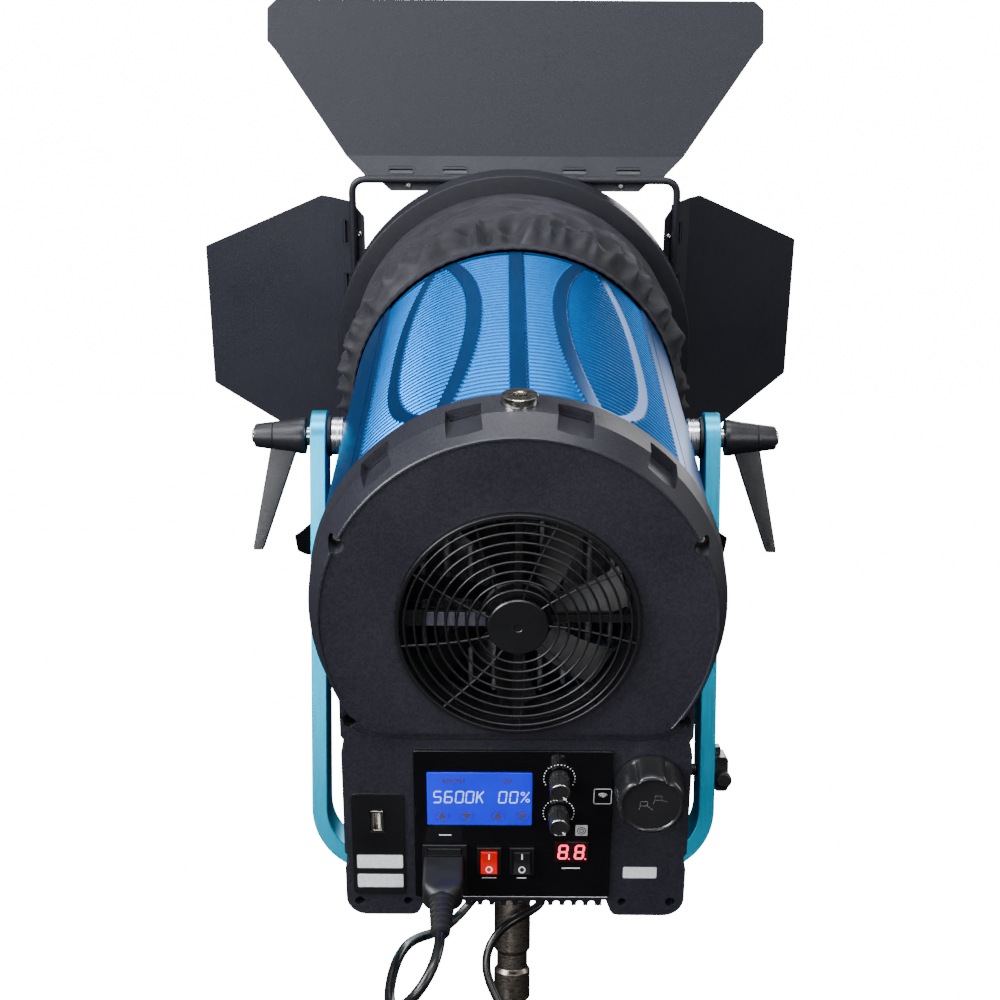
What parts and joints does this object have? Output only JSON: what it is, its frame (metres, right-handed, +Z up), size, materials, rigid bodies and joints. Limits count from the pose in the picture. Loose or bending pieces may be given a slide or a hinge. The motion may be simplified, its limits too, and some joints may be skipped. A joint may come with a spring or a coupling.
{
  "type": "fresnel spotlight",
  "caption": "Studio LED fresnel spotlight in a U yoke on a stand pin, with focusing lens barrel, fabric bellows, four barn doors, rear control panel and mains lead.",
  "frame": {"origin": "on the stand pin's axis at the underside of the yoke, where the pin's shoulder meets the bar", "axes": "+Z up along the stand pin towards the yoke, +Y the way the light shines (the head itself is pitched 18 degrees front-up from it), +X to the right seen from behind the lamp, along the tilt axis"},
  "size_m": [0.5557, 0.7497, 0.9368],
  "materials": {
    "blue_anodised": "blue anodised, satin",
    "black_plastic": "fine-textured black",
    "gloss_black": "gloss black",
    "dark_metal": "dark grey powder coat",
    "rubber_black": "black",
    "black_fabric": "black coated woven cloth",
    "bright_steel": "bright nickel plated",
    "aluminium": "plain machined",
    "blue_screen": "lit blue LCD window",
    "red_lamp": "translucent red",
    "grey_window": "grey window",
    "clear_glass": "clear",
    "green_board": "green circuit board",
    "white_plastic": "white acetal"
  },
  "bodies": {
    "yoke": {"yoke": "blue_anodised", "stand_pin": "bright_steel", "pin_nut": "bright_steel", "accessory_clip": "black_plastic", "clip_bolt": "bright_steel", "power_cord": "rubber_black", "cord_coil": "rubber_black", "mains_plug": "rubber_black"},
    "clip_screw": {"clip_screw": "black_plastic"},
    "head": {"rear_cover": "black_plastic", "lower_box": "black_plastic", "bottom_heat_sink": "dark_metal", "top_bush": "bright_steel", "fan_grille": "black_plastic", "fan_frame": "black_plastic", "heat_sink": "aluminium", "engine_plate": "aluminium", "led_board": "white_plastic", "reflector": "aluminium", "power_supply": "aluminium", "control_board": "green_board", "control_panel": "gloss_black", "lcd_window": "blue_screen", "number_display": "red_lamp", "light_sensor": "grey_window", "power_switch_frame": "black_plastic", "fan_switch_frame": "black_plastic", "power_inlet": "black_plastic", "usb_port": "bright_steel", "main_tube": "blue_anodised", "tube_bush": "white_plastic", "bellows": "black_fabric", "tilt_spacer_left": "aluminium", "tilt_spacer_right": "aluminium", "tilt_washer_left": "rubber_black", "tilt_washer_right": "rubber_black", "cord_connector": "rubber_black"},
    "fan": {"fan_impeller": "black_plastic"},
    "fuse_drawer": {"fuse_drawer": "black_plastic"},
    "power_rocker": {"power_rocker": "red_lamp"},
    "fan_rocker": {"fan_rocker": "black_plastic"},
    "dimmer_knob": {"dimmer_knob": "black_plastic"},
    "color_knob": {"color_knob": "black_plastic"},
    "focus_drive": {"focus_knob": "black_plastic", "focus_shaft": "bright_steel"},
    "lens_carriage": {"lens_barrel": "dark_metal", "focus_nut": "white_plastic", "lens_ring": "dark_metal", "fresnel_lens": "clear_glass", "lens_retainer": "dark_metal"},
    "clamp_stud_left": {"clamp_stud_left": "bright_steel"},
    "clamp_stud_right": {"clamp_stud_right": "bright_steel"},
    "clamp_lever_left": {"clamp_lever_left": "black_plastic"},
    "clamp_lever_right": {"clamp_lever_right": "black_plastic"},
    "barndoor_frame": {"barndoor_ring": "dark_metal", "barndoor_rod": "dark_metal"},
    "top_leaf": {"top_leaf": "dark_metal"},
    "bottom_leaf": {"bottom_leaf": "dark_metal"},
    "left_leaf": {"left_leaf": "dark_metal"},
    "right_leaf": {"right_leaf": "dark_metal"}
  },
  "joints": [
    {"name": "head_tilt", "type": "hinge", "parent": "yoke", "child": "head", "pos_m": [0, 0, 0.338], "axis": [1, 0, 0], "range_deg": [-50, 22], "deforming": ["power_cord"]},
    {"name": "clamp_turn_left", "type": "hinge", "parent": "head", "child": "clamp_stud_left", "pos_m": [-0.15, 0, 0.338], "axis": [1, 0, 0], "range_deg": [-90, 90]},
    {"name": "clamp_lift_left", "type": "slide", "parent": "clamp_stud_left", "child": "clamp_lever_left", "axis": [-1, 0, 0], "range_m": [0, 0.004], "stiffness_N_per_m": 400, "springref_m": -0.003},
    {"name": "clamp_turn_right", "type": "hinge", "parent": "head", "child": "clamp_stud_right", "pos_m": [0.15, 0, 0.338], "axis": [1, 0, 0], "range_deg": [-90, 90]},
    {"name": "clamp_lift_right", "type": "slide", "parent": "clamp_stud_right", "child": "clamp_lever_right", "axis": [1, 0, 0], "range_m": [0, 0.004], "stiffness_N_per_m": 400, "springref_m": -0.003},
    {"name": "clip_screw_turn", "type": "hinge", "parent": "yoke", "child": "clip_screw", "pos_m": [0.1625, -0.015, 0.074], "axis": [0, 1, 0], "range_deg": [-360, 360]},
    {"name": "fan_spin", "type": "hinge", "parent": "head", "child": "fan", "pos_m": [0, -0.25431, 0.24696], "axis": [0, 0.9511, 0.309], "continuous": true},
    {"name": "fuse_drawer_slide", "type": "slide", "parent": "head", "child": "fuse_drawer", "axis": [0, -0.9511, -0.309], "range_m": [0, 0.012]},
    {"name": "power_switch", "type": "hinge", "parent": "head", "child": "power_rocker", "pos_m": [-0.0174, -0.21926, 0.07434], "axis": [1, 0, 0], "range_deg": [0, 16]},
    {"name": "fan_switch", "type": "hinge", "parent": "head", "child": "fan_rocker", "pos_m": [0.0041, -0.21926, 0.07434], "axis": [1, 0, 0], "range_deg": [0, 16]},
    {"name": "dimmer_turn", "type": "hinge", "parent": "head", "child": "dimmer_knob", "pos_m": [0.0274, -0.23894, 0.13492], "axis": [0, 0.9511, 0.309], "range_deg": [-140, 140]},
    {"name": "color_turn", "type": "hinge", "parent": "head", "child": "color_knob", "pos_m": [0.0274, -0.23078, 0.10982], "axis": [0, 0.9511, 0.309], "range_deg": [-140, 140]},
    {"name": "focus_slide", "type": "slide", "parent": "head", "child": "lens_carriage", "axis": [0, 0.9511, 0.309], "range_m": [-0.06, 0.01], "deforming": ["bellows"]},
    {"name": "focus_turn", "type": "hinge", "parent": "head", "child": "focus_drive", "pos_m": [0.085, -0.23718, 0.1295], "axis": [0, 0.9511, 0.309], "range_deg": [-1085, 185]},
    {"name": "barndoor_turn", "type": "hinge", "parent": "lens_carriage", "child": "barndoor_frame", "pos_m": [0, 0.24499, 0.40919], "axis": [0, 0.9511, 0.309], "continuous": true},
    {"name": "top_leaf_hinge", "type": "hinge", "parent": "barndoor_frame", "child": "top_leaf", "pos_m": [0, 0.21476, 0.55078], "axis": [-1, 0, 0], "range_deg": [-26, 64]},
    {"name": "bottom_leaf_hinge", "type": "hinge", "parent": "barndoor_frame", "child": "bottom_leaf", "pos_m": [0, 0.30376, 0.27687], "axis": [1, 0, 0], "range_deg": [-36, 54]},
    {"name": "left_leaf_hinge", "type": "hinge", "parent": "barndoor_frame", "child": "left_leaf", "pos_m": [-0.144, 0.25926, 0.41383], "axis": [0, 0.309, -0.9511], "range_deg": [-20, 115]},
    {"name": "right_leaf_hinge", "type": "hinge", "parent": "barndoor_frame", "child": "right_leaf", "pos_m": [0.144, 0.25926, 0.41383], "axis": [0, -0.309, 0.9511], "range_deg": [-35, 100]}
  ],
  "couplings": [
    {"joint": "focus_turn", "follows": "focus_slide", "rad_per_m": 314.16}
  ]
}
